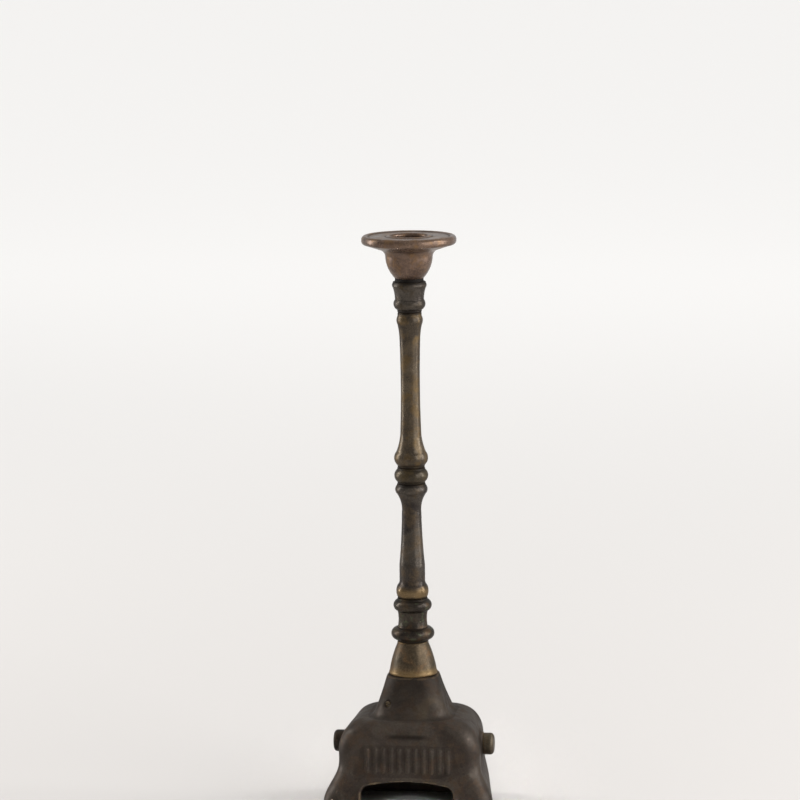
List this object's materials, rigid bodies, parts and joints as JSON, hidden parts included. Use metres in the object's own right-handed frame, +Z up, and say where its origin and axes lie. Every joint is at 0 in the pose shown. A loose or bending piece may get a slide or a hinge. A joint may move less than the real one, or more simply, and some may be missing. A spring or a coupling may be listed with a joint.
{
  "type": "candlestick",
  "caption": "Tall turned candlestick with a wide drip pan, a slender ringed stem and a hollow four-sided cast base with an open arch and side knobs.",
  "frame": {"origin": "on the floor, at the bottom centre of the bounding box, under the stem's axis", "axes": "+Z up along the stem; -Y is the front, where the base's arch opens; +X is to the right seen from the front"},
  "size_m": [0.1058, 0.08, 0.3595],
  "materials": {
    "dark_bronze_cast": "cast brass with a dark brown patina, satin, rubbed lighter on its edges",
    "dark_bronze_turned": "turned brass with a dark olive brown patina, half polished",
    "worn_brass": "turned brass, patina worn through to the yellow metal",
    "brown_brass": "turned brass with a thin reddish brown patina, satin",
    "dark_leather": "dark oiled leather",
    "grey_steel": "plain steel, dull"
  },
  "bodies": {
    "stand": {"base_casting": "dark_bronze_cast", "lock_screw": "worn_brass", "cone": "worn_brass", "base_collar": "dark_bronze_turned", "lower_column": "dark_bronze_turned", "middle_knop": "dark_bronze_turned", "upper_column": "dark_bronze_turned", "top_collar": "dark_bronze_turned", "cup_washer": "dark_leather", "lower_rod": "grey_steel", "upper_rod": "grey_steel", "base_washer": "grey_steel", "base_nut": "grey_steel", "side_knob_left": "dark_bronze_cast", "side_knob_right": "dark_bronze_cast", "side_knob_nuts": "grey_steel"},
    "cup": {"candle_cup": "brown_brass"}
  },
  "joints": [
    {"name": "cup_lift", "type": "slide", "parent": "stand", "child": "cup", "axis": [0, 0, 1], "range_m": [0, 0.01]}
  ]
}
